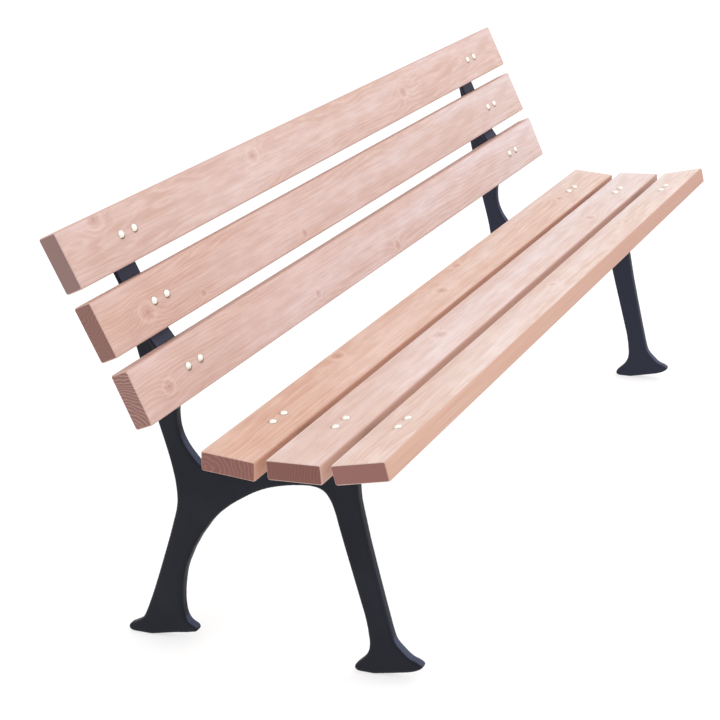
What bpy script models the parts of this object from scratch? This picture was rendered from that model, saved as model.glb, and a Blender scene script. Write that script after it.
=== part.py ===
"""Park bench with a back: six equal timber slats bolted to two cast end frames.

Each frame is one casting: a flat plate that forms the rear leg, the front leg, the arched
seat arm and the leaning upright, with a wide flange along the faces that carry the slats.
Two dome-headed bolts fasten every slat to every frame, one on each side of the plate, each
with a flanged nut behind the flange.

+X runs along the slats, the sitter faces -Y and +Z is up. The origin is on the ground under
the middle of the bench. In the side view a place is a (y, z) pair, with y measured from the
middle seat slat until the finished bench is centred, and a pitch is the angle of a slat's
width above the horizontal.
"""

from collections import namedtuple
import math

import bmesh
import bpy
from mathutils import Matrix, Vector

# Timber
SLAT_LENGTH = 1.800
SLAT_WIDTH = 0.095
SLAT_THICKNESS = 0.034
SLAT_EDGE_RADIUS = 0.004
SEAT_GAP = 0.022
BACK_GAP = 0.022

# Place of the frames along the slats
FRAME_INSET = 0.167          # from a slat's end to the middle of the frame's plate

# Casting
PLATE_THICKNESS = 0.020
PLATE_EDGE_RADIUS = 0.003
FLANGE_THICKNESS = 0.008
FLANGE_EDGE_RADIUS = 0.0015
SEAT_FLANGE_INSETS = (0.030, 0.008)   # how far the flange stops short of the front and rear
BACK_FLANGE_INSETS = (0.008, 0.008)   # edges of the seat, and of the foot and top of the back

# Fasteners
BOLT_DIAMETER = 0.006
BOLT_HEAD_DIAMETER = 0.015
BOLT_HEAD_HEIGHT = 0.0042
BOLT_TAIL = 0.003            # bolt that stands out of its nut
NUT_ACROSS_FLATS = 0.010
NUT_HEIGHT = 0.0065
NUT_FLANGE_DIAMETER = 0.0142
NUT_FLANGE_THICKNESS = 0.0014
HOLE_CLEARANCE = 0.0005      # on the radius, in the timber and the casting
THREAD_CLEARANCE = 0.0003    # on the radius, between a bolt and its nut
CONTACT_GAP = 0.0003         # between faces that touch
NUT_CLEARANCE = 0.0019       # between a nut and the side of the plate
BOLT_EDGE_DISTANCE = 0.011   # from a bolt to the edge of the flange

# The two bolts of a slat stand on either side of the plate, and the flange reaches past both.
BOLT_SPACING = PLATE_THICKNESS + NUT_FLANGE_DIAMETER + 2 * NUT_CLEARANCE
FLANGE_WIDTH = BOLT_SPACING + 2 * BOLT_EDGE_DISTANCE

# Side view: the middle seat slat is placed first, and the rest is measured from the seat's edges
SEAT_HEIGHT = 0.4215         # bearing face of the middle seat slat above the ground
BACK_FROM_SEAT = (0.1109, 0.0533)     # from the seat's rear edge to the foot of the back
REAR_FOOT_REACH = 0.2007     # ankle of the rear foot behind the seat's rear edge
FRONT_FOOT_SETBACK = 0.1323  # ankle of the front foot behind the seat's front edge

SEAT_PITCH = {"rear": math.radians(4.5), "middle": math.radians(-2.1), "front": math.radians(-11.9)}
BACK_PITCH = {"bottom": math.radians(68.0), "middle": math.radians(66.0), "top": math.radians(66.0)}
REAR_SEAT_STEP = -0.0075     # the rear seat slat sits lower than its neighbour
LOW_BACK_STEP = -0.005       # the lowest back slat sits in front of the one above

CURVE_STEPS = 3              # straight pieces between two points of a smooth outline
ROUND_STEPS = 12             # sides of the bolts, holes and nut flanges

Station = namedtuple("Station", "name place pitch")


def along(pitch, distance):
    """A run across a slat's width, upwards or to the rear."""
    return Vector((math.cos(pitch), math.sin(pitch))) * distance


def proud(pitch, distance):
    """A run out of a slat's face, towards the sitter."""
    return Vector((-math.sin(pitch), math.cos(pitch))) * distance


def slat_edge(station, way):
    """Edge of a slat's bearing face: way is 1 for the rear or upper one, -1 for the other."""
    return station.place + along(station.pitch, way * SLAT_WIDTH / 2)


def slat_from_edge(name, pitch, edge, way):
    """The slat that lies beyond the given edge of its bearing face."""
    return Station(name, edge + along(pitch, way * SLAT_WIDTH / 2), pitch)


def neighbour(station, name, pitch, gap, step, way):
    """The slat next to a station: way is 1 for the rear or up, -1 for the front."""
    mean = (station.pitch + pitch) / 2
    edge = slat_edge(station, way) + along(mean, way * gap) + proud(mean, step)
    return slat_from_edge(name, pitch, edge, way)


def slat_stations():
    """Middle of each slat's bearing face, front of the seat first and top of the back last."""
    middle = Station("seat_slat_middle", Vector((0.0, SEAT_HEIGHT)), SEAT_PITCH["middle"])
    front = neighbour(middle, "seat_slat_front", SEAT_PITCH["front"], SEAT_GAP, 0.0, -1)
    rear = neighbour(middle, "seat_slat_rear", SEAT_PITCH["rear"], SEAT_GAP, REAR_SEAT_STEP, 1)
    back_foot = slat_edge(rear, 1) + Vector(BACK_FROM_SEAT)
    lowest = slat_from_edge("back_slat_bottom", BACK_PITCH["bottom"], back_foot, 1)
    centre = neighbour(lowest, "back_slat_middle", BACK_PITCH["middle"], BACK_GAP, LOW_BACK_STEP, 1)
    top = neighbour(centre, "back_slat_top", BACK_PITCH["top"], BACK_GAP, 0.0, 1)
    return [front, middle, rear], [lowest, centre, top]


def bearing_path(stations, insets, depth):
    """Line through the slats' bearing faces, moved into the casting by depth."""
    points = []
    for station in stations:
        into = -proud(station.pitch, depth)
        for way in (-1, 1):
            points.append(slat_edge(station, way) + into)
    points[0] += along(stations[0].pitch, insets[0])
    points[-1] -= along(stations[-1].pitch, insets[1])
    return points


def offsets(origin, pairs):
    return [Vector(origin) + Vector(pair) for pair in pairs]


def plate_outline(seat, back):
    """Outline of the plate as (point, smooth) pairs, from the top of the upright down its rear."""
    seat_middle = seat[1].place
    seat_front = slat_edge(seat[0], -1)
    seat_rear = slat_edge(seat[-1], 1)
    back_foot = slat_edge(back[0], -1)
    front_foot = (seat_front.x + FRONT_FOOT_SETBACK, 0.0)
    rear_foot = (seat_rear.x + REAR_FOOT_REACH, 0.0)
    top = back[-1]
    outline = []

    def smooth(points):
        outline.extend((point, True) for point in points)

    def corner(points):
        outline.extend((point, False) for point in points)

    # Rear edge: straight down the upright, round the waist and down the leg to the heel.
    corner([top.place - proud(top.pitch, FLANGE_THICKNESS)])
    smooth(offsets(back_foot, [(0.0630, -0.0590)]))
    smooth(offsets(seat_rear, [(0.1640, -0.0485), (0.1580, -0.0805), (0.1540, -0.1185),
                               (0.1560, -0.1505), (0.1660, -0.1825)]))
    smooth(offsets(rear_foot, [(-0.003, 0.155), (0.018, 0.103), (0.032, 0.071), (0.043, 0.048),
                               (0.054, 0.030), (0.073, 0.018), (0.0835, 0.0115), (0.0835, 0.0035)]))
    # Rear sole: flat under the heel, rising to the toe.
    corner(offsets(rear_foot, [(0.076, 0.0), (0.038, 0.0)]))
    smooth(offsets(rear_foot, [(-0.013, 0.0115), (-0.046, 0.0180), (-0.0565, 0.0225),
                               (-0.055, 0.0300), (-0.044, 0.0365), (-0.037, 0.046), (-0.034, 0.067),
                               (-0.035, 0.087), (-0.039, 0.112), (-0.051, 0.153)]))
    # Arch between the legs.
    smooth(offsets(seat_rear, [(0.0950, -0.1795), (0.0620, -0.1475), (0.0290, -0.1245),
                               (-0.0110, -0.1025)]))
    smooth(offsets(seat_middle, [(0.1150, -0.0915)]))
    smooth(offsets(seat_front, [(0.2405, -0.1090), (0.2175, -0.1080), (0.2005, -0.1130),
                                (0.1905, -0.1250), (0.1825, -0.1460), (0.1765, -0.1740)]))
    smooth(offsets(front_foot, [(0.014, 0.140), (0.006, 0.104), (0.0025, 0.075), (0.002, 0.056),
                                (0.005, 0.043), (0.014, 0.029), (0.026, 0.0175), (0.033, 0.009),
                                (0.032, 0.003)]))
    # Front sole, and the front edge of the leg up to the arm.
    corner(offsets(front_foot, [(0.026, 0.0), (-0.004, 0.0)]))
    smooth(offsets(front_foot, [(-0.054, 0.0105), (-0.074, 0.0155), (-0.088, 0.022),
                                (-0.0945, 0.029), (-0.088, 0.0355), (-0.074, 0.041),
                                (-0.057, 0.056), (-0.046, 0.069), (-0.0405, 0.087),
                                (-0.035, 0.113), (-0.027, 0.152)]))
    smooth(offsets(seat_front, [(0.1325, -0.1440), (0.1360, -0.1090), (0.1325, -0.0800),
                                (0.1175, -0.0590), (0.0925, -0.0440), (0.0575, -0.0305)]))
    # Along the seat inside its flange, then the hollow behind the seat.
    inside = FLANGE_EDGE_RADIUS
    corner(bearing_path(seat, SEAT_FLANGE_INSETS, inside))
    smooth(offsets(seat_rear, [(0.0035, -0.0285), (0.0155, -0.0545), (0.0375, -0.0745),
                               (0.0695, -0.0805), (0.1005, -0.0715), (0.1165, -0.0545)]))
    smooth(offsets(back_foot, [(0.0190, -0.0860), (0.0255, -0.0645), (0.0265, -0.0425),
                               (0.0225, -0.0200), (0.0135, -0.0030)]))
    # Up the back inside its flange.
    corner(bearing_path(back, BACK_FLANGE_INSETS, inside)[:-1])
    corner([top.place - proud(top.pitch, inside)])
    return outline


def side_view_matrix(x):
    """Turns a flat outline so that its X, Y and normal lie along Y, Z and X, at place x."""
    return Matrix(((0, 0, 1, x), (1, 0, 0, 0), (0, 1, 0, 0), (0, 0, 0, 1)))


def outline_solid(name, outline, width, edge_radius):
    """Mesh object made of an outline drawn in the side view, width wide along X."""
    curve = bpy.data.curves.new(name, "CURVE")
    curve.dimensions = "2D"
    curve.fill_mode = "BOTH"
    curve.extrude = width / 2 - edge_radius
    curve.bevel_depth = edge_radius
    curve.bevel_resolution = 0
    curve.offset = -edge_radius
    curve.resolution_u = CURVE_STEPS
    spline = curve.splines.new("BEZIER")
    spline.bezier_points.add(len(outline) - 1)
    spline.use_cyclic_u = True
    for knot, (point, smooth) in zip(spline.bezier_points, outline):
        knot.co = (point.x, point.y, 0.0)
        handle = "AUTO" if smooth else "VECTOR"
        knot.handle_left_type = handle
        knot.handle_right_type = handle
    guide = bpy.data.objects.new(name, curve)
    bpy.context.scene.collection.objects.link(guide)
    bpy.context.view_layer.update()
    evaluated = guide.evaluated_get(bpy.context.evaluated_depsgraph_get())
    mesh = bpy.data.meshes.new_from_object(evaluated)
    bpy.data.objects.remove(guide)
    bm = bmesh.new()
    bm.from_mesh(mesh)
    bmesh.ops.remove_doubles(bm, verts=bm.verts, dist=1e-5)
    bmesh.ops.dissolve_degenerate(bm, edges=bm.edges, dist=1e-6)
    bmesh.ops.recalc_face_normals(bm, faces=bm.faces)
    bm.to_mesh(mesh)
    bm.free()
    return bpy.data.objects.new(name, mesh)


def flange_outline(stations, insets):
    front = bearing_path(stations, insets, 0.0)
    back = bearing_path(stations, insets, FLANGE_THICKNESS)
    return [(point, False) for point in front + back[::-1]]


def station_matrix(station, x, height):
    """Frame of a slat: Y across its width, Z out of its face, height above the bearing face."""
    place = station.place + proud(station.pitch, height)
    return (Matrix.Translation((x, place.x, place.y))
            @ Matrix.Rotation(station.pitch, 4, "X"))


def cylinder(bm, radius, bottom, top, matrix):
    made = bmesh.ops.create_cone(bm, cap_ends=True, segments=ROUND_STEPS, radius1=radius,
                                 radius2=radius, depth=top - bottom)
    shift = Matrix.Translation((0, 0, (top + bottom) / 2))
    bmesh.ops.transform(bm, matrix=matrix @ shift, verts=made["verts"])


def bolt_hole_cutter(name, frames, low, high):
    """Cylinders through each given frame of reference, as one cutter."""
    bm = bmesh.new()
    for matrix in frames:
        cylinder(bm, BOLT_DIAMETER / 2 + HOLE_CLEARANCE, low, high, matrix)
    mesh = bpy.data.meshes.new(name)
    bm.to_mesh(mesh)
    bm.free()
    cutter = bpy.data.objects.new(name, mesh)
    cutter.hide_render = True
    cutter.display_type = "WIRE"
    return cutter


def add_boolean(target, other, operation):
    boolean = target.modifiers.new(other.name, "BOOLEAN")
    boolean.object = other
    boolean.operation = operation


def finished_mesh(target, name):
    """The mesh that an object's modifiers make, for pieces that share it."""
    bpy.context.view_layer.update()
    evaluated = target.evaluated_get(bpy.context.evaluated_depsgraph_get())
    mesh = bpy.data.meshes.new_from_object(evaluated)
    mesh.name = name
    mesh.shade_smooth()
    mesh.set_sharp_from_angle(angle=math.radians(35))
    return mesh


def slat_mesh(cutters):
    bm = bmesh.new()
    bmesh.ops.create_cube(bm, size=1.0)
    bmesh.ops.scale(bm, vec=(SLAT_LENGTH, SLAT_WIDTH, SLAT_THICKNESS), verts=bm.verts)
    bmesh.ops.translate(bm, vec=(0, 0, SLAT_THICKNESS / 2), verts=bm.verts)
    mesh = bpy.data.meshes.new("slat_blank")
    bm.to_mesh(mesh)
    bm.free()
    blank = bpy.data.objects.new("slat_blank", mesh)
    cutters.objects.link(blank)
    bevel = blank.modifiers.new("eased_edges", "BEVEL")
    bevel.width = SLAT_EDGE_RADIUS
    bevel.segments = 2
    places = [Matrix.Translation((x, 0, 0)) for x in bolt_places()]
    holes = bolt_hole_cutter("slat_holes", places, -SLAT_THICKNESS, 2 * SLAT_THICKNESS)
    cutters.objects.link(holes)
    add_boolean(blank, holes, "DIFFERENCE")
    result = finished_mesh(blank, "slat")
    bpy.data.objects.remove(blank)
    bpy.data.objects.remove(holes)
    return result


def frame_places():
    """Middle of each frame's plate along X, by side."""
    reach = SLAT_LENGTH / 2 - FRAME_INSET
    return {"left": -reach, "right": reach}


def bolt_offsets():
    """Place of a frame's two bolts from the middle of its plate, by name."""
    return {"low_x": -BOLT_SPACING / 2, "high_x": BOLT_SPACING / 2}


def bolt_places():
    return [x + offset for x in frame_places().values() for offset in bolt_offsets().values()]


def frame_mesh(seat, back, cutters):
    plate = outline_solid("frame_plate", plate_outline(seat, back), PLATE_THICKNESS,
                          PLATE_EDGE_RADIUS)
    cutters.objects.link(plate)
    made = [plate]
    for name, stations, insets in (("seat_flange", seat, SEAT_FLANGE_INSETS),
                                   ("back_flange", back, BACK_FLANGE_INSETS)):
        outline = flange_outline(stations, insets)
        flange = outline_solid(name, outline, FLANGE_WIDTH, FLANGE_EDGE_RADIUS)
        cutters.objects.link(flange)
        add_boolean(plate, flange, "UNION")
        made.append(flange)
    turn = side_view_matrix(0.0).inverted()
    places = [turn @ station_matrix(station, offset, 0.0)
              for station in seat + back for offset in bolt_offsets().values()]
    holes = bolt_hole_cutter("frame_holes", places, -2 * FLANGE_THICKNESS, FLANGE_THICKNESS)
    cutters.objects.link(holes)
    add_boolean(plate, holes, "DIFFERENCE")
    made.append(holes)
    result = finished_mesh(plate, "end_frame")
    result.transform(side_view_matrix(0.0))
    for item in made:
        bpy.data.objects.remove(item)
    return result


def bolt_length():
    grip = SLAT_THICKNESS + FLANGE_THICKNESS + 3 * CONTACT_GAP
    return grip + NUT_HEIGHT + BOLT_TAIL


def bolt_mesh():
    """Half outline of a dome-headed bolt; a Screw modifier on each bolt turns it."""
    head = BOLT_HEAD_DIAMETER / 2
    shank = BOLT_DIAMETER / 2
    profile = [(head * math.sin(math.radians(angle)), BOLT_HEAD_HEIGHT * math.cos(math.radians(angle)))
               for angle in (0, 25, 50, 72, 90)]
    profile += [(shank, 0.0), (shank, -bolt_length()), (0.0, -bolt_length())]
    mesh = bpy.data.meshes.new("bolt_profile")
    bm = bmesh.new()
    points = [bm.verts.new((x, 0.0, z)) for x, z in profile]
    for start, end in zip(points, points[1:]):
        bm.edges.new((start, end))
    bm.to_mesh(mesh)
    bm.free()
    blank = bpy.data.objects.new("bolt_blank", mesh)
    bpy.context.scene.collection.objects.link(blank)
    screw = blank.modifiers.new("turned", "SCREW")
    screw.axis = "Z"
    screw.steps = ROUND_STEPS
    screw.render_steps = ROUND_STEPS
    screw.use_merge_vertices = True
    screw.merge_threshold = 1e-5
    result = finished_mesh(blank, "dome_head_bolt")
    bpy.data.objects.remove(blank)
    return result


def nut_mesh(cutters):
    """Hexagon nut with a round flange, its flange's face at Z = 0 and its body below."""
    bm = bmesh.new()
    corner_radius = NUT_ACROSS_FLATS / math.sqrt(3)
    made = bmesh.ops.create_cone(bm, cap_ends=True, segments=6, radius1=corner_radius,
                                 radius2=corner_radius, depth=NUT_HEIGHT)
    bmesh.ops.translate(bm, vec=(0, 0, -NUT_HEIGHT / 2), verts=made["verts"])
    mesh = bpy.data.meshes.new("nut_blank")
    bm.to_mesh(mesh)
    bm.free()
    blank = bpy.data.objects.new("nut_blank", mesh)
    bm = bmesh.new()
    cylinder(bm, NUT_FLANGE_DIAMETER / 2, -NUT_FLANGE_THICKNESS, 0.0, Matrix.Identity(4))
    mesh = bpy.data.meshes.new("nut_collar")
    bm.to_mesh(mesh)
    bm.free()
    collar = bpy.data.objects.new("nut_collar", mesh)
    bm = bmesh.new()
    cylinder(bm, BOLT_DIAMETER / 2 + THREAD_CLEARANCE, -2 * NUT_HEIGHT, NUT_HEIGHT,
             Matrix.Identity(4))
    mesh = bpy.data.meshes.new("nut_bore")
    bm.to_mesh(mesh)
    bm.free()
    bore = bpy.data.objects.new("nut_bore", mesh)
    for item in (blank, collar, bore):
        cutters.objects.link(item)
    add_boolean(blank, collar, "UNION")
    add_boolean(blank, bore, "DIFFERENCE")
    result = finished_mesh(blank, "flange_nut")
    for item in (blank, collar, bore):
        bpy.data.objects.remove(item)
    return result


def material(name, colour, roughness, metallic):
    result = bpy.data.materials.new(name)
    result.use_nodes = True
    shader = result.node_tree.nodes["Principled BSDF"]
    shader.inputs["Base Color"].default_value = (*colour, 1.0)
    shader.inputs["Roughness"].default_value = roughness
    shader.inputs["Metallic"].default_value = metallic
    return result


def place_piece(collection, root, name, mesh, matrix, finish):
    piece = bpy.data.objects.new(name, mesh)
    collection.objects.link(piece)
    piece.parent = root
    piece.matrix_local = matrix
    if not mesh.materials:
        mesh.materials.append(finish)
    return piece


def centre_on_ground(root, pieces):
    """Moves the bench so that the middle of its box is over the origin."""
    bpy.context.view_layer.update()
    depths = [(piece.matrix_world @ vertex.co).y for piece in pieces for vertex in piece.data.vertices]
    root.location.y = -(min(depths) + max(depths)) / 2


def main():
    for item in list(bpy.data.objects):
        bpy.data.objects.remove(item)
    scene = bpy.context.scene
    bench = bpy.data.collections.new("park_bench")
    scene.collection.children.link(bench)
    cutters = bpy.data.collections.new("park_bench_cutters")
    scene.collection.children.link(cutters)

    timber = material("stained_pine", (0.62, 0.40, 0.31), 0.6, 0.0)
    casting = material("painted_casting", (0.028, 0.030, 0.036), 0.45, 0.2)
    zinc = material("zinc_plate", (0.70, 0.70, 0.66), 0.3, 1.0)

    root = bpy.data.objects.new("bench_origin", None)
    bench.objects.link(root)

    seat, back = slat_stations()
    slat = slat_mesh(cutters)
    frame = frame_mesh(seat, back, cutters)
    bolt = bolt_mesh()
    nut = nut_mesh(cutters)

    pieces = []
    for side, x in frame_places().items():
        matrix = Matrix.Translation((x, 0, 0))
        pieces.append(place_piece(bench, root, f"end_frame_{side}", frame, matrix, casting))
    for station in seat + back:
        matrix = station_matrix(station, 0.0, CONTACT_GAP)
        pieces.append(place_piece(bench, root, station.name, slat, matrix, timber))
        label = station.name.replace("_slat", "")
        for side, x in frame_places().items():
            for row, offset in bolt_offsets().items():
                head = station_matrix(station, x + offset, SLAT_THICKNESS + 2 * CONTACT_GAP)
                pieces.append(place_piece(bench, root, f"bolt_{label}_{side}_{row}", bolt, head,
                                          zinc))
                under = station_matrix(station, x + offset, -FLANGE_THICKNESS - CONTACT_GAP)
                pieces.append(place_piece(bench, root, f"nut_{label}_{side}_{row}", nut, under,
                                          zinc))
    centre_on_ground(root, pieces)


main()
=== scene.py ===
"""Park bench with a back: stained pine slats, painted castings and zinc-plated fasteners."""

import math

import bmesh
import bpy
from mathutils import Matrix, Vector


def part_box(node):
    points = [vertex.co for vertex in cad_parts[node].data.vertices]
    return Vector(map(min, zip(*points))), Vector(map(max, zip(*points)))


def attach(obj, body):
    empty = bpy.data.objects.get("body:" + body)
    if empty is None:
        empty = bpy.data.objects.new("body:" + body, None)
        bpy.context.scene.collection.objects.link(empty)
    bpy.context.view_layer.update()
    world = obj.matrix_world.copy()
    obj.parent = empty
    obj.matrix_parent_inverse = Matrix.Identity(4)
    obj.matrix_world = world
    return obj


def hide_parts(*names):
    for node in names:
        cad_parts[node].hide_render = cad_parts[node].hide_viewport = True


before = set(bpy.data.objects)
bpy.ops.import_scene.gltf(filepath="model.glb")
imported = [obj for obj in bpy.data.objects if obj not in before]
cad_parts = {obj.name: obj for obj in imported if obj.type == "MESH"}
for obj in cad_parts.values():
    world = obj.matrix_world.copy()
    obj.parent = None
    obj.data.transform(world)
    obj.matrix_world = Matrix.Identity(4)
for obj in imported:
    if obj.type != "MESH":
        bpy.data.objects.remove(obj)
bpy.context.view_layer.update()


# --- Standing place -------------------------------------------------------------------------
# The bench stands on a wide white studio floor that is lit from below, so it hardly shows a
# shadow. The camera looks down from the sitter's right, close enough that the near end looms.

CAMERA_PLACE = (-3.0369, -1.3426, 1.5252)
CAMERA_AZIMUTH = math.radians(-68.88)
CAMERA_ELEVATION = math.radians(23.87)
CAMERA_ROLL = math.radians(-1.42)
CAMERA_SENSOR = 36.0
CAMERA_LENS = 86.96
CAMERA_SHIFT = (-0.224, 0.1384)
CAMERA_REACH = 200.0

camera_data = bpy.data.cameras.new("studio_camera")
camera_data.sensor_width = CAMERA_SENSOR
camera_data.lens = CAMERA_LENS
camera_data.shift_x, camera_data.shift_y = CAMERA_SHIFT
camera_data.clip_end = CAMERA_REACH
camera = bpy.data.objects.new("studio_camera", camera_data)
camera.matrix_world = (Matrix.Translation(CAMERA_PLACE) @ Matrix.Rotation(CAMERA_AZIMUTH, 4, "Z")
                       @ Matrix.Rotation(math.pi / 2 - CAMERA_ELEVATION, 4, "X")
                       @ Matrix.Rotation(CAMERA_ROLL, 4, "Z"))
bpy.context.scene.collection.objects.link(camera)
bpy.context.scene.camera = camera
bpy.context.scene.view_settings.view_transform = "Standard"

WHITE = (1.0, 1.0, 1.0, 1.0)
FLOOR_SIZE = 60.0
FLOOR_COLOUR = (0.42, 0.42, 0.42, 1.0)
FLOOR_GLOW = 0.62
bm = bmesh.new()
bmesh.ops.create_grid(bm, x_segments=1, y_segments=1, size=FLOOR_SIZE / 2)
floor_mesh = bpy.data.meshes.new("studio_floor")
bm.to_mesh(floor_mesh)
bm.free()
floor = bpy.data.objects.new("studio_floor", floor_mesh)
bpy.context.scene.collection.objects.link(floor)
floor_paint = bpy.data.materials.new("studio_floor")
floor_paint.use_nodes = True
floor_shader = floor_paint.node_tree.nodes["Principled BSDF"]
floor_shader.inputs["Base Color"].default_value = FLOOR_COLOUR
floor_shader.inputs["Emission Color"].default_value = WHITE
floor_shader.inputs["Emission Strength"].default_value = FLOOR_GLOW
floor_shader.inputs["Roughness"].default_value = 0.9
floor_shader.inputs["Specular IOR Level"].default_value = 0.1
floor_mesh.materials.append(floor_paint)

HORIZON_LIGHT = 1.0
ZENITH_GAIN = 0.28
world = bpy.data.worlds.new("studio")
world.use_nodes = True
sky = world.node_tree
direction = sky.nodes.new("ShaderNodeSeparateXYZ")
sky.links.new(sky.nodes.new("ShaderNodeTexCoord").outputs["Generated"], direction.inputs["Vector"])
rise = sky.nodes.new("ShaderNodeMath")
rise.operation = "MULTIPLY_ADD"
rise.inputs[1].default_value = ZENITH_GAIN
rise.inputs[2].default_value = HORIZON_LIGHT
sky.links.new(direction.outputs["Z"], rise.inputs[0])
sky.nodes["Background"].inputs["Color"].default_value = WHITE
sky.links.new(rise.outputs["Value"], sky.nodes["Background"].inputs["Strength"])
bpy.context.scene.world = world

KEY_PLACE = Vector((1.6, -2.6, 3.4))
KEY_AIM = Vector((0.0, 0.0, 0.4))
KEY_SIZE = 2.6
KEY_POWER = 45.0
KEY_COLOUR = (1.0, 0.99, 0.97)
key_light = bpy.data.lights.new("key", "AREA")
key_light.shape = "SQUARE"
key_light.size = KEY_SIZE
key_light.energy = KEY_POWER
key_light.color = KEY_COLOUR
key = bpy.data.objects.new("key", key_light)
key_turn = (KEY_PLACE - KEY_AIM).to_track_quat("Z", "Y").to_matrix().to_4x4()
key.matrix_world = Matrix.Translation(KEY_PLACE) @ key_turn
bpy.context.scene.collection.objects.link(key)


# --- Timber slats ---------------------------------------------------------------------------
# Six equal planed pine boards, stained a light reddish brown, with their long edges and ends
# eased. Each lies on the flanges of both castings, held by two bolts at each.

SLAT_SIZE = (1.800, 0.095, 0.034)
SLAT_EDGE_RADIUS = 0.004
SHARP_EDGE = math.radians(40)
SLAT_PITCH = {"seat_slat_front": -11.9, "seat_slat_middle": -2.1, "seat_slat_rear": 4.5,
              "back_slat_bottom": 68.0, "back_slat_middle": 66.0, "back_slat_top": 66.0}


def slat_matrix(node):
    """Frame at a slat's middle: X along it, Y across its width and Z out of its face."""
    low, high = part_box(node)
    centre = (Vector(low) + Vector(high)) / 2
    return Matrix.Translation(centre) @ Matrix.Rotation(math.radians(SLAT_PITCH[node]), 4, "X")


def add_piece(name, bm, material, slot, *nodes):
    """Makes a finished mesh a piece that stands for CAD nodes and rides on the bench."""
    bmesh.ops.recalc_face_normals(bm, faces=bm.faces)
    mesh = bpy.data.meshes.new(name)
    bm.to_mesh(mesh)
    bm.free()
    mesh.shade_smooth()
    mesh.set_sharp_from_angle(angle=SHARP_EDGE)
    mesh.materials.append(material)
    piece = bpy.data.objects.new(name, mesh)
    bpy.context.scene.collection.objects.link(piece)
    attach(piece, "root")
    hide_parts(*nodes)


def new_group(name, inputs, outputs):
    """An empty shader node group with sockets given as name: (type, default)."""
    group = bpy.data.node_groups.new(name, "ShaderNodeTree")
    for label, (kind, default) in inputs.items():
        socket = group.interface.new_socket(label, in_out="INPUT", socket_type=kind)
        socket.default_value = default
    for label, kind in outputs.items():
        group.interface.new_socket(label, in_out="OUTPUT", socket_type=kind)
    return group, group.nodes.new("NodeGroupInput"), group.nodes.new("NodeGroupOutput")


class Wiring:
    """Short calls for adding and joining the nodes of one tree."""

    def __init__(self, tree):
        self.tree = tree

    def feed(self, socket, value):
        if isinstance(value, bpy.types.NodeSocket):
            self.tree.links.new(value, socket)
        else:
            socket.default_value = value

    def math(self, operation, *values):
        node = self.tree.nodes.new("ShaderNodeMath")
        node.operation = operation
        for socket, value in zip(node.inputs, values):
            self.feed(socket, value)
        return node.outputs[0]

    def vector(self, operation, *values):
        node = self.tree.nodes.new("ShaderNodeVectorMath")
        node.operation = operation
        for socket, value in zip(node.inputs, values):
            self.feed(socket, value)
        return node.outputs["Value" if operation in ("LENGTH", "DOT_PRODUCT") else "Vector"]

    def noise(self, vector, scale, detail=2.0, roughness=0.5):
        node = self.tree.nodes.new("ShaderNodeTexNoise")
        node.inputs["Scale"].default_value = scale
        node.inputs["Detail"].default_value = detail
        node.inputs["Roughness"].default_value = roughness
        self.feed(node.inputs["Vector"], vector)
        return node.outputs["Fac"]

    def ramp(self, value, low, high, start=0.0, end=1.0):
        """A smooth step of value from low to high, given out from start to end."""
        node = self.tree.nodes.new("ShaderNodeMapRange")
        node.interpolation_type = "SMOOTHSTEP"
        for label, number in (("Value", value), ("From Min", low), ("From Max", high),
                              ("To Min", start), ("To Max", end)):
            self.feed(node.inputs[label], number)
        return node.outputs["Result"]

    def mix(self, share, first, second, blend="MIX"):
        node = self.tree.nodes.new("ShaderNodeMix")
        node.data_type = "RGBA"
        node.blend_type = blend
        self.feed(node.inputs[0], share)
        self.feed(node.inputs[6], first)
        self.feed(node.inputs[7], second)
        return node.outputs[2]

    def group(self, group, **values):
        node = self.tree.nodes.new("ShaderNodeGroup")
        node.node_tree = group
        for label, value in values.items():
            self.feed(node.inputs[label.replace("_", " ").title()], value)
        return node.outputs


KNOT_STRETCH = (0.75, 1.0, 0.0)   # a knot is longer along the board than across it
KNOT_RAGGEDNESS = 0.004


def knot_group():
    """A branch through the board: how far the grain swells round it, its core and pale rings."""
    group, inlet, outlet = new_group(
        "knot", {"Vector": ("NodeSocketVector", (0, 0, 0)), "Along": ("NodeSocketFloat", 0.0),
                 "Across": ("NodeSocketFloat", 0.0), "Radius": ("NodeSocketFloat", 0.01)},
        {"Swell": "NodeSocketFloat", "Core": "NodeSocketFloat", "Halo": "NodeSocketFloat"})
    wire = Wiring(group)
    place = group.nodes.new("ShaderNodeCombineXYZ")
    group.links.new(inlet.outputs["Along"], place.inputs["X"])
    group.links.new(inlet.outputs["Across"], place.inputs["Y"])
    offset = wire.vector("SUBTRACT", inlet.outputs["Vector"], place.outputs["Vector"])
    warp = wire.noise(inlet.outputs["Vector"], 90.0)
    flat = wire.vector("MULTIPLY", offset, KNOT_STRETCH)
    distance = wire.math("ADD", wire.vector("LENGTH", flat),
                         wire.math("MULTIPLY", wire.math("SUBTRACT", warp, 0.5), KNOT_RAGGEDNESS))
    share = wire.math("DIVIDE", distance, inlet.outputs["Radius"])
    bell = wire.math("EXPONENT", wire.math("MULTIPLY", wire.math("MULTIPLY", share, share), -0.25))
    wire.feed(outlet.inputs["Swell"], wire.math("MULTIPLY", bell, inlet.outputs["Radius"]))
    wire.feed(outlet.inputs["Core"], wire.ramp(share, 1.0, 0.35))
    rim = wire.math("MULTIPLY", wire.ramp(share, 1.0, 1.2), wire.ramp(share, 1.60, 1.35))
    heart = wire.math("MULTIPLY", wire.ramp(share, 0.25, 0.40), wire.ramp(share, 0.65, 0.50))
    wire.feed(outlet.inputs["Halo"], wire.math("ADD", rim, wire.math("MULTIPLY", heart, 0.6)))
    return group


GRAIN_BEND = 0.052
RING_UNEVENNESS = 0.004


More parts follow.
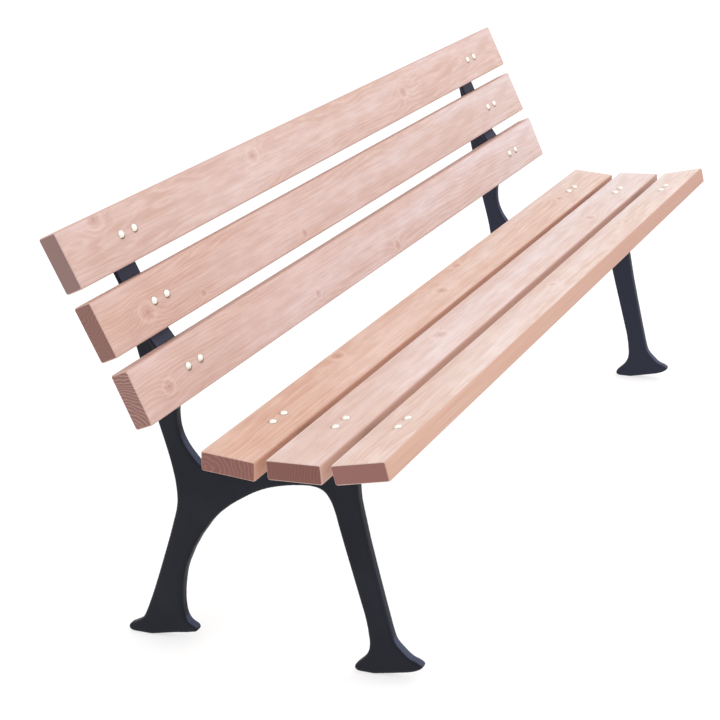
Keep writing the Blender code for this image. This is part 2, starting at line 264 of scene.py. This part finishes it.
def grain_group():
    """Growth rings round a pith line that runs along the board, each with a dark band and a pale
    line, besides fine fibres, broad patches and a small mottle in the stain."""
    group, inlet, outlet = new_group(
        "grain", {"Vector": ("NodeSocketVector", (0, 0, 0)), "Pith": ("NodeSocketVector", (0, 0, 0)),
                  "Lean": ("NodeSocketVector", (0, 0, 0)), "Swell": ("NodeSocketFloat", 0.0),
                  "Ring Width": ("NodeSocketFloat", 0.004)},
        {"Rings": "NodeSocketFloat", "Line": "NodeSocketFloat", "Fibre": "NodeSocketFloat",
         "Patch": "NodeSocketFloat", "Mottle": "NodeSocketFloat"})
    wire = Wiring(group)
    vector = inlet.outputs["Vector"]
    parts = group.nodes.new("ShaderNodeSeparateXYZ")
    wire.feed(parts.inputs["Vector"], vector)
    slow = wire.vector("MULTIPLY", vector, (1.0, 6.0, 6.0))
    bend = wire.math("MULTIPLY", wire.math("SUBTRACT", wire.noise(slow, 1.9, 4.0), 0.5), GRAIN_BEND)
    lean = group.nodes.new("ShaderNodeVectorMath")
    lean.operation = "SCALE"
    wire.feed(lean.inputs["Vector"], inlet.outputs["Lean"])
    wire.feed(lean.inputs["Scale"], parts.outputs["X"])
    away = wire.vector("SUBTRACT", wire.vector("ADD", vector, lean.outputs["Vector"]),
                       inlet.outputs["Pith"])
    radius = wire.vector("LENGTH", wire.vector("MULTIPLY", away, (0.0, 1.0, 1.0)))
    radius = wire.math("ADD", wire.math("ADD", radius, bend), inlet.outputs["Swell"])
    drawn = wire.vector("MULTIPLY", vector, (0.5, 8.0, 8.0))
    uneven = wire.math("MULTIPLY", wire.noise(drawn, 9.0), RING_UNEVENNESS)
    turn = wire.math("DIVIDE", wire.math("ADD", radius, uneven), inlet.outputs["Ring Width"])
    phase = wire.math("FRACT", turn)
    late = wire.math("MULTIPLY", wire.ramp(phase, 0.15, 0.85), wire.ramp(phase, 1.0, 0.88))
    wire.feed(outlet.inputs["Rings"], late)
    line = wire.math("MULTIPLY", wire.ramp(phase, 0.0, 0.15), wire.ramp(phase, 0.42, 0.22))
    wire.feed(outlet.inputs["Line"], line)
    fine = wire.vector("MULTIPLY", vector, (4.0, 420.0, 420.0))
    wire.feed(outlet.inputs["Fibre"], wire.noise(fine, 1.0, 4.0, 0.6))
    broad = wire.vector("MULTIPLY", vector, (2.0, 14.0, 14.0))
    wire.feed(outlet.inputs["Patch"], wire.noise(broad, 1.5, 3.0))
    mottle = wire.vector("MULTIPLY", vector, (14.0, 70.0, 70.0))
    wire.feed(outlet.inputs["Mottle"], wire.noise(mottle, 1.0, 3.0, 0.6))
    return group


KNOT = knot_group()
GRAIN = grain_group()


def shade(colour, by=(1.0, 1.0, 1.0)):
    """A stain colour with each channel taken down or up."""
    return (colour[0] * by[0], colour[1] * by[1], colour[2] * by[2], 1.0)


# Shades of a board's stain, as factors on its red, green and blue.
PALE_FAR_END = (1.04, 1.24, 1.38)
DARK_RING, PALE_LINE = (0.80, 0.66, 0.60), (1.14, 1.20, 1.20)
DARK_FIBRE = (0.78, 0.62, 0.56)
KNOT_CORE, KNOT_RIM = (0.64, 0.44, 0.41), (1.10, 1.12, 1.08)
END_PALE, END_DARK = (1.06, 1.06, 1.06), (0.88, 0.84, 0.84)
END_DARK_RING, END_PALE_LINE = (0.70, 0.58, 0.58), (1.45, 1.55, 1.50)

# Washes over the whole stain: its patches, its mottle and the warmth of the long edges.
PATCH_PALE, PATCH_DARK = (1.03, 1.06, 1.09, 1.0), (0.95, 0.88, 0.83, 1.0)
MOTTLE_PALE, MOTTLE_DARK = (1.05, 1.06, 1.07, 1.0), (0.94, 0.89, 0.87, 1.0)
EDGE_PLAIN = (0.97, 0.95, 0.93, 1.0)
EDGE_WARM, EDGE_WARM_FIBRE = (0.83, 0.64, 0.55, 1.0), (0.75, 0.54, 0.43, 1.0)
EDGE_WARM_FAR = (0.66, 0.46, 0.39, 1.0)

# How strongly each mark shows in the stain, and how deep the wood's grain stands.
RING_STRENGTH = 0.26
FIBRE_STRENGTH = 0.34
CORE_STRENGTH, RIM_STRENGTH = 0.50, 0.40
END_RING_SHARE = 0.6
GRAIN_RELIEF = 0.0003


def timber_material(node, tint, far_paling, edge_warmth, end_tint, end_lines, pith, lean, ring_width,
                    knots):
    """Stained pine for one board, whose grain is laid out in that board's own frame."""
    result = bpy.data.materials.new(f"stained_pine_{node}")
    result.use_nodes = True
    tree = result.node_tree
    shader = tree.nodes["Principled BSDF"]
    wire = Wiring(tree)
    coordinates = tree.nodes.new("ShaderNodeTexCoord")
    place = slat_matrix(node)
    mapping = tree.nodes.new("ShaderNodeMapping")
    mapping.vector_type = "TEXTURE"
    mapping.inputs["Location"].default_value = place.translation
    mapping.inputs["Rotation"].default_value = place.to_euler()
    wire.feed(mapping.inputs["Vector"], coordinates.outputs["Object"])
    board = mapping.outputs["Vector"]

    swell, core, halo = 0.0, 0.0, 0.0
    for along, across, radius in knots:
        knot = wire.group(KNOT, vector=board, along=along, across=across, radius=radius)
        swell = wire.math("ADD", swell, knot["Swell"])
        core = wire.math("MAXIMUM", core, knot["Core"])
        halo = wire.math("MAXIMUM", halo, knot["Halo"])
    grain = wire.group(GRAIN, vector=board, pith=pith, lean=lean, swell=swell,
                       ring_width=ring_width)

    parts = tree.nodes.new("ShaderNodeSeparateXYZ")
    wire.feed(parts.inputs["Vector"], board)
    half_length = SLAT_SIZE[0] / 2
    half_width = SLAT_SIZE[1] / 2

    # Face: the stain drifts and pales towards one end. Rings and fibres show unevenly in it.
    far_pale = wire.math("MULTIPLY", wire.ramp(parts.outputs["X"], -half_length, half_length), far_paling)
    colour = wire.mix(far_pale, shade(tint), shade(tint, PALE_FAR_END))
    drift = wire.mix(wire.ramp(grain["Patch"], 0.30, 0.70), PATCH_PALE, PATCH_DARK)
    colour = wire.mix(1.0, colour, drift, "MULTIPLY")
    mottle = wire.mix(wire.ramp(grain["Mottle"], 0.30, 0.70), MOTTLE_PALE, MOTTLE_DARK)
    colour = wire.mix(1.0, colour, mottle, "MULTIPLY")
    shown = wire.ramp(grain["Patch"], 0.38, 0.62, 0.25, 1.0)
    shown = wire.math("MULTIPLY", shown, RING_STRENGTH)
    colour = wire.mix(wire.math("MULTIPLY", grain["Rings"], shown), colour, shade(tint, DARK_RING))
    colour = wire.mix(wire.math("MULTIPLY", grain["Line"], shown), colour, shade(tint, PALE_LINE))
    colour = wire.mix(wire.ramp(grain["Fibre"], 0.42, 0.72, 0.0, FIBRE_STRENGTH), colour,
                      shade(tint, DARK_FIBRE))
    colour = wire.mix(wire.math("MULTIPLY", core, CORE_STRENGTH), colour, shade(tint, KNOT_CORE))
    colour = wire.mix(wire.math("MULTIPLY", halo, RIM_STRENGTH), colour, shade(tint, KNOT_RIM))

    # Long edges take the stain warmer than the planed faces, most of all on the seat's front.
    edge = wire.ramp(wire.math("ABSOLUTE", parts.outputs["Y"]), half_width - SLAT_EDGE_RADIUS,
                     half_width - 0.0006)
    warm = wire.mix(wire.ramp(grain["Fibre"], 0.35, 0.75), EDGE_WARM, EDGE_WARM_FIBRE)
    warm = wire.mix(wire.ramp(parts.outputs["X"], -half_length, half_length), warm, EDGE_WARM_FAR)
    wash = wire.mix(edge_warmth, EDGE_PLAIN, warm)
    colour = wire.mix(edge, colour, wire.mix(1.0, shade(tint), wash, "MULTIPLY"))

    # Sawn ends drink the stain, and their rings stay pale.
    end = wire.ramp(wire.math("ABSOLUTE", parts.outputs["X"]), half_length - 0.0012,
                    half_length - 0.0004)
    speck = wire.noise(board, 900.0, 2.0)
    end_colour = wire.mix(wire.ramp(speck, 0.35, 0.70), shade(end_tint, END_PALE),
                          shade(end_tint, END_DARK))
    end_colour = wire.mix(wire.math("MULTIPLY", grain["Rings"], end_lines * END_RING_SHARE),
                          end_colour, shade(end_tint, END_DARK_RING))
    end_colour = wire.mix(wire.math("MULTIPLY", grain["Line"], end_lines), end_colour,
                          shade(end_tint, END_PALE_LINE))
    wire.feed(shader.inputs["Base Color"], wire.mix(end, colour, end_colour))
    wire.feed(shader.inputs["Roughness"], wire.ramp(grain["Fibre"], 0.2, 0.8, 0.52, 0.70))
    shader.inputs["Specular IOR Level"].default_value = 0.30

    height = wire.math("ADD", wire.math("MULTIPLY", grain["Rings"], 0.4), grain["Fibre"])
    bump = tree.nodes.new("ShaderNodeBump")
    bump.inputs["Strength"].default_value = 0.30
    bump.inputs["Distance"].default_value = GRAIN_RELIEF
    wire.feed(bump.inputs["Height"], height)
    wire.feed(shader.inputs["Normal"], bump.outputs["Normal"])
    return result


# Per board: stain on the face, how much paler it grows towards the far end, how warm its long edges
# are, stain on the sawn end, how clearly the end shows its rings, middle of the growth rings, its
# lean along the board, ring width, and knots as (along, across, radius).
BOARDS = {
    "back_slat_top": ((0.61, 0.45, 0.41), 0.2, 0.4, (0.245, 0.150, 0.138), 0.08,
                      (0, 0.02, -0.09), (0, 0.01, 0.012), 0.0042,
                      [(-0.80, 0.04, 0.013), (-0.30, 0.02, 0.012), (0.35, 0.0, 0.011)]),
    "back_slat_middle": ((0.60, 0.42, 0.37), 0.9, 0.4, (0.228, 0.113, 0.096), 0.35,
                         (0, 0.07, -0.03), (0, -0.008, 0.014), 0.0045,
                         [(-0.78, -0.01, 0.013), (-0.62, -0.03, 0.006), (-0.25, -0.03, 0.008)]),
    "back_slat_bottom": ((0.63, 0.46, 0.42), 0.8, 0.4, (0.27, 0.147, 0.126), 0.85,
                         (0, -0.07, -0.02), (0, 0.010, -0.012), 0.0060,
                         [(-0.82, -0.01, 0.010), (-0.30, -0.02, 0.008), (0.05, -0.03, 0.009)]),
    "seat_slat_rear": ((0.64, 0.44, 0.36), 1.0, 0.8, (0.228, 0.101, 0.083), 0.40,
                       (0, 0.03, -0.02), (0, 0.010, 0.012), 0.0075,
                       [(-0.45, 0.03, 0.011), (-0.05, 0.0, 0.013), (0.10, 0.03, 0.010),
                        (0.65, 0.0, 0.010)]),
    "seat_slat_middle": ((0.67, 0.53, 0.49), 0.6, 0.8, (0.195, 0.081, 0.065), 0.30,
                         (0, -0.09, -0.02), (0, -0.006, 0.010), 0.0050,
                         [(-0.30, 0.01, 0.014), (0.50, -0.01, 0.011)]),
    "seat_slat_front": ((0.70, 0.57, 0.52), 0.3, 1.0, (0.262, 0.116, 0.101), 0.06,
                        (0, -0.03, -0.07), (0, 0.008, -0.008), 0.0045,
                        [(0.0, 0.01, 0.008), (0.45, 0.0, 0.008)]),
}


def slat_piece(node):
    bm = bmesh.new()
    bmesh.ops.create_cube(bm, size=1.0)
    bmesh.ops.scale(bm, vec=SLAT_SIZE, verts=bm.verts)
    bmesh.ops.bevel(bm, geom=bm.edges[:], offset=SLAT_EDGE_RADIUS, segments=4, profile=0.5,
                    affect="EDGES", material=-1)
    bmesh.ops.transform(bm, matrix=slat_matrix(node), verts=bm.verts)
    add_piece(f"{node}_timber", bm, timber_material(node, *BOARDS[node]), "stained_pine", node)


for node in BOARDS:
    slat_piece(node)


# --- Castings -------------------------------------------------------------------------------
# Each end frame is one iron casting: plate legs, arm and upright with a wide flange behind the
# slats. The foundry's round edges and fillets are kept, under a satin anthracite paint.

CASTING_VOXEL = 0.002
CASTING_SMOOTHING = 4
SKY_SHEEN_WAY = (0.0, -0.6, 0.8)   # faces turned this way get a painted bluish sky sheen
PAINTED_SKY_SHEEN = (0.050, 0.060, 0.108, 1.0)
PAINT_DEEP, PAINT_WORN = (0.005, 0.006, 0.012, 1.0), (0.008, 0.010, 0.017, 1.0)
PAINT_PALER_FAR = (0.018, 0.021, 0.038, 1.0)   # paint turns paler towards the far casting
CASTING_RELIEF = 0.0004


def casting_material():
    result = bpy.data.materials.new("anthracite_paint")
    result.use_nodes = True
    tree = result.node_tree
    shader = tree.nodes["Principled BSDF"]
    wire = Wiring(tree)
    source = tree.nodes.new("ShaderNodeTexCoord")
    coordinates, facing = source.outputs["Object"], source.outputs["Normal"]
    cloud = wire.noise(coordinates, 9.0, 3.0)
    grit = wire.noise(coordinates, 900.0, 2.0)
    wave = wire.noise(coordinates, 70.0, 3.0)
    paint = wire.mix(wire.ramp(cloud, 0.35, 0.7), PAINT_DEEP, PAINT_WORN)
    parts = tree.nodes.new("ShaderNodeSeparateXYZ")
    wire.feed(parts.inputs["Vector"], coordinates)
    paint = wire.mix(wire.ramp(parts.outputs["X"], -0.5, 0.5), paint, PAINT_PALER_FAR)
    # Faces turned up and towards the sitter are painted lighter and bluer: a painted highlight from
    # the sky.
    turned_up = wire.vector("DOT_PRODUCT", facing, SKY_SHEEN_WAY)
    painted_sheen = wire.math("MULTIPLY", wire.ramp(turned_up, 0.70, 0.94),
                      wire.ramp(cloud, 0.2, 0.6, 0.7, 1.0))
    wire.feed(shader.inputs["Base Color"], wire.mix(painted_sheen, paint, PAINTED_SKY_SHEEN))
    wire.feed(shader.inputs["Roughness"], wire.ramp(grit, 0.3, 0.7, 0.42, 0.56))
    shader.inputs["Specular IOR Level"].default_value = 0.18
    bump = tree.nodes.new("ShaderNodeBump")
    bump.inputs["Strength"].default_value = 0.5
    bump.inputs["Distance"].default_value = CASTING_RELIEF
    wire.feed(bump.inputs["Height"], wire.math("ADD", wire.math("MULTIPLY", grit, 0.25), wave))
    wire.feed(shader.inputs["Normal"], bump.outputs["Normal"])
    return result


CASTING_PAINT = casting_material()


def casting_piece(node):
    bm = bmesh.new()
    bm.from_mesh(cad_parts[node].data)
    bmesh.ops.remove_doubles(bm, verts=bm.verts, dist=1e-5)
    mesh = bpy.data.meshes.new(f"{node}_rough")
    bm.to_mesh(mesh)
    bm.free()
    rough = bpy.data.objects.new(f"{node}_rough", mesh)
    bpy.context.scene.collection.objects.link(rough)
    remesh = rough.modifiers.new("sand_mould", "REMESH")
    remesh.mode = "VOXEL"
    remesh.voxel_size = CASTING_VOXEL
    bpy.context.view_layer.update()
    evaluated = rough.evaluated_get(bpy.context.evaluated_depsgraph_get())
    bm = bmesh.new()
    bm.from_mesh(evaluated.to_mesh())
    bpy.data.objects.remove(rough)
    for _ in range(CASTING_SMOOTHING):
        bmesh.ops.smooth_vert(bm, verts=bm.verts, factor=0.5, use_axis_x=True, use_axis_y=True,
                              use_axis_z=True)
    add_piece(f"{node}_casting", bm, CASTING_PAINT, "painted_casting", node)


for node in ("end_frame_left", "end_frame_right"):
    casting_piece(node)


# --- Fasteners ------------------------------------------------------------------------------
# Bright zinc-plated dome-headed bolts pass through every slat and flange, with a flanged
# hexagon nut behind.

BOLT_SHANK_RADIUS = 0.003
BOLT_HEAD_RADIUS = 0.0075
BOLT_HEAD_HEIGHT = 0.0042
CONTACT_GAP = 0.0003
FLANGE_THICKNESS = 0.008
NUT_HEIGHT = 0.0065
NUT_ACROSS_FLATS = 0.010
NUT_FLANGE_RADIUS = 0.0071
BOLT_TAIL = 0.003
NUT_BORE_RADIUS = 0.0033
THREAD_PITCH = 0.001
THREAD_DEPTH = 0.0004
THREAD_TURNS = 5
SHADED_SIDE_WAY = (0.6, 0.0, -0.8)   # the side of a head that gets painted shade
ZINC_DULL, ZINC_BRIGHT = (0.80, 0.77, 0.68, 1.0), (0.90, 0.88, 0.81, 1.0)
PAINTED_SHADE_ZINC = (0.22, 0.19, 0.13, 1.0)


def zinc_material():
    result = bpy.data.materials.new("bright_zinc")
    result.use_nodes = True
    tree = result.node_tree
    shader = tree.nodes["Principled BSDF"]
    wire = Wiring(tree)
    source = tree.nodes.new("ShaderNodeTexCoord")
    spangle = wire.noise(source.outputs["Object"], 700.0, 2.0)
    plate = wire.mix(spangle, ZINC_DULL, ZINC_BRIGHT)
    # The lower side of each head is darkened: painted shade standing in for a dark reflection.
    shaded_side = wire.vector("DOT_PRODUCT", source.outputs["Normal"], SHADED_SIDE_WAY)
    wire.feed(shader.inputs["Base Color"], wire.mix(wire.ramp(shaded_side, -0.2, 0.1), plate, PAINTED_SHADE_ZINC))
    shader.inputs["Metallic"].default_value = 1.0
    wire.feed(shader.inputs["Roughness"], wire.ramp(spangle, 0.3, 0.7, 0.22, 0.36))
    return result


ZINC = zinc_material()


def turned(profile, steps=32, ring=False):
    """A bmesh turned about Z from (radius, height) points, which start and end on the axis or,
    for a ring, close on themselves."""
    bm = bmesh.new()
    points = [bm.verts.new((radius, 0.0, height)) for radius, height in profile]
    pairs = list(zip(points, points[1:]))
    if ring:
        pairs.append((points[-1], points[0]))
    edges = [bm.edges.new(pair) for pair in pairs]
    bmesh.ops.spin(bm, geom=points + edges, cent=(0, 0, 0), axis=(0, 0, 1), angle=2 * math.pi,
                   steps=steps, use_merge=True)
    bmesh.ops.remove_doubles(bm, verts=bm.verts, dist=1e-6)
    return bm


def bolt_place(node, x):
    """Frame of a bolt: Z out of the slat's face, its origin on that face."""
    place = slat_matrix(node)
    return place @ Matrix.Translation((x, 0, SLAT_SIZE[2] / 2))


def bolt_piece(name, node, x):
    head = [(BOLT_HEAD_RADIUS * math.sin(math.radians(angle)),
             BOLT_HEAD_HEIGHT * math.cos(math.radians(angle))) for angle in range(0, 91, 9)]
    length = SLAT_SIZE[2] + FLANGE_THICKNESS + 3 * CONTACT_GAP + NUT_HEIGHT + BOLT_TAIL
    shank = [(BOLT_SHANK_RADIUS, 0.0)]
    for turn in range(THREAD_TURNS):
        crest = -length + (THREAD_TURNS - turn) * THREAD_PITCH
        shank += [(BOLT_SHANK_RADIUS, crest),
                  (BOLT_SHANK_RADIUS - THREAD_DEPTH, crest - THREAD_PITCH / 2)]
    shank += [(BOLT_SHANK_RADIUS - THREAD_DEPTH, -length), (0.0, -length)]
    bm = turned(head + shank)
    place = bolt_place(node, x) @ Matrix.Translation((0, 0, CONTACT_GAP))
    bmesh.ops.transform(bm, matrix=place, verts=bm.verts)
    add_piece(f"{name}_zinc", bm, ZINC, "zinc_plate", name)


def nut_piece(name, node, x):
    """A ring turned to the corner radius, whose body is then drawn in to six flats."""
    corner = NUT_ACROSS_FLATS / math.sqrt(3)
    bm = turned([(NUT_BORE_RADIUS, 0.0), (NUT_FLANGE_RADIUS - 0.0003, 0.0),
                 (NUT_FLANGE_RADIUS, -0.0003), (NUT_FLANGE_RADIUS, -0.0009),
                 (corner, -0.0016), (corner, -NUT_HEIGHT + 0.0009),
                 (NUT_ACROSS_FLATS / 2 * 0.92, -NUT_HEIGHT), (NUT_BORE_RADIUS, -NUT_HEIGHT)],
                steps=48, ring=True)
    for vertex in bm.verts:
        if abs(vertex.co.xy.length - corner) < 1e-5:
            angle = math.atan2(vertex.co.y, vertex.co.x) % (math.pi / 3) - math.pi / 6
            vertex.co.xy *= NUT_ACROSS_FLATS / 2 / math.cos(angle) / corner
    below = SLAT_SIZE[2] + FLANGE_THICKNESS + 2 * CONTACT_GAP
    place = bolt_place(node, x) @ Matrix.Translation((0, 0, -below))
    bmesh.ops.transform(bm, matrix=place, verts=bm.verts)
    add_piece(f"{name}_zinc", bm, ZINC, "zinc_plate", name)


for node in BOARDS:
    label = node.replace("_slat", "")
    for side in ("left", "right"):
        for row in ("low_x", "high_x"):
            bolt = f"bolt_{label}_{side}_{row}"
            low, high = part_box(bolt)
            middle = (low[0] + high[0]) / 2
            bolt_piece(bolt, node, middle)
            nut_piece(f"nut_{label}_{side}_{row}", node, middle)
